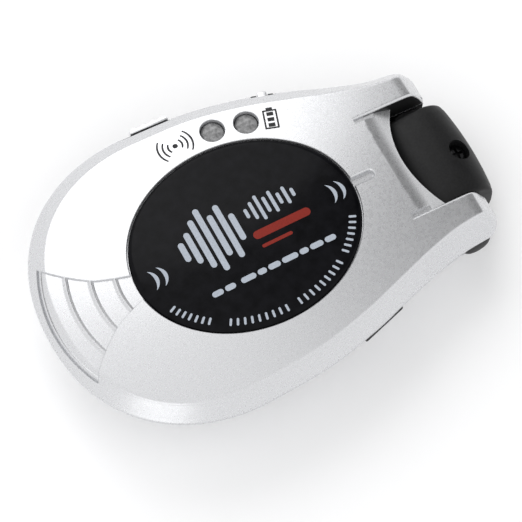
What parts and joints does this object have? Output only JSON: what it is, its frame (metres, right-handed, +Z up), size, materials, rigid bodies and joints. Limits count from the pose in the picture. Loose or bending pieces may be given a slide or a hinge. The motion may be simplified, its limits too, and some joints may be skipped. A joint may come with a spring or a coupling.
{
  "type": "wireless guitar transmitter",
  "caption": "Pebble-shaped plug-on wireless guitar unit with a fold-out quarter-inch jack plug on a friction knuckle, a slide switch, a side button, a USB socket and two indicator windows.",
  "frame": {"origin": "middle of the outline seen from above, on the surface that the unit lies on, with the plug folded under it", "axes": "+X towards the knuckle, +Y to the side with the power switch and the channel button, +Z up through the oval label"},
  "size_m": [0.0796, 0.0537, 0.019],
  "materials": {
    "silver_paint": "satin metallic silver paint on moulded ABS",
    "black_plastic": "fine matt moulded plastic",
    "label_gloss": "gloss black label under clear resin with light grey printed marks",
    "frosted_lens": "frosted translucent light pipe",
    "led": "small surface-mount LED",
    "board_green": "solder-masked circuit board",
    "chip_black": "moulded chip package",
    "steel": "plain bright steel",
    "nickel": "nickel plate on brass",
    "ceramic": "fired ceramic",
    "cell_pouch": "aluminium-laminate battery pouch",
    "foam": "foam tape",
    "lead_red": "wire insulation",
    "lead_black": "wire insulation"
  },
  "bodies": {
    "housing": {"top_shell": "silver_paint", "bottom_shell": "silver_paint", "label_plate": "label_gloss", "audio_light_pipe": "frosted_lens", "battery_light_pipe": "frosted_lens", "audio_led": "led", "battery_led": "led", "circuit_board": "board_green", "radio_shield": "steel", "controller_chip": "chip_black", "audio_converter_chip": "chip_black", "chip_antenna": "ceramic", "crystal": "steel", "charger_chip": "chip_black", "usb_socket": "steel", "usb_tongue": "chip_black", "switch_body": "steel", "tact_switch": "chip_black", "battery_cell": "cell_pouch", "battery_pad": "foam", "battery_lead_positive": "lead_red", "battery_lead_negative": "lead_black", "plug_lead": "lead_black", "hinge_pin_left": "steel", "hinge_pin_right": "steel", "hinge_cap_left": "black_plastic", "hinge_cap_right": "black_plastic", "case_screw_1": "steel", "case_screw_2": "steel", "case_screw_3": "steel", "case_screw_4": "steel"},
    "knuckle": {"knuckle_base": "black_plastic", "knuckle_cover": "black_plastic", "knuckle_screw": "steel", "plug_sleeve": "nickel", "plug_insulator": "black_plastic", "plug_tip": "nickel", "friction_washer_left": "steel", "friction_washer_right": "steel"},
    "power_switch": {"switch_knob": "silver_paint"},
    "channel_key": {"channel_button": "silver_paint"}
  },
  "joints": [
    {"name": "plug_hinge", "type": "hinge", "parent": "housing", "child": "knuckle", "pos_m": [0.0324, 0, 0.0077], "axis": [0, -1, 0], "range_deg": [0, 180]},
    {"name": "power_slide", "type": "slide", "parent": "housing", "child": "power_switch", "axis": [-1, 0, 0], "range_m": [0, 0.0015]},
    {"name": "button_press", "type": "slide", "parent": "housing", "child": "channel_key", "axis": [-0.3045, -0.9525, 0], "range_m": [0, 0.0005], "stiffness_N_per_m": 400}
  ]
}
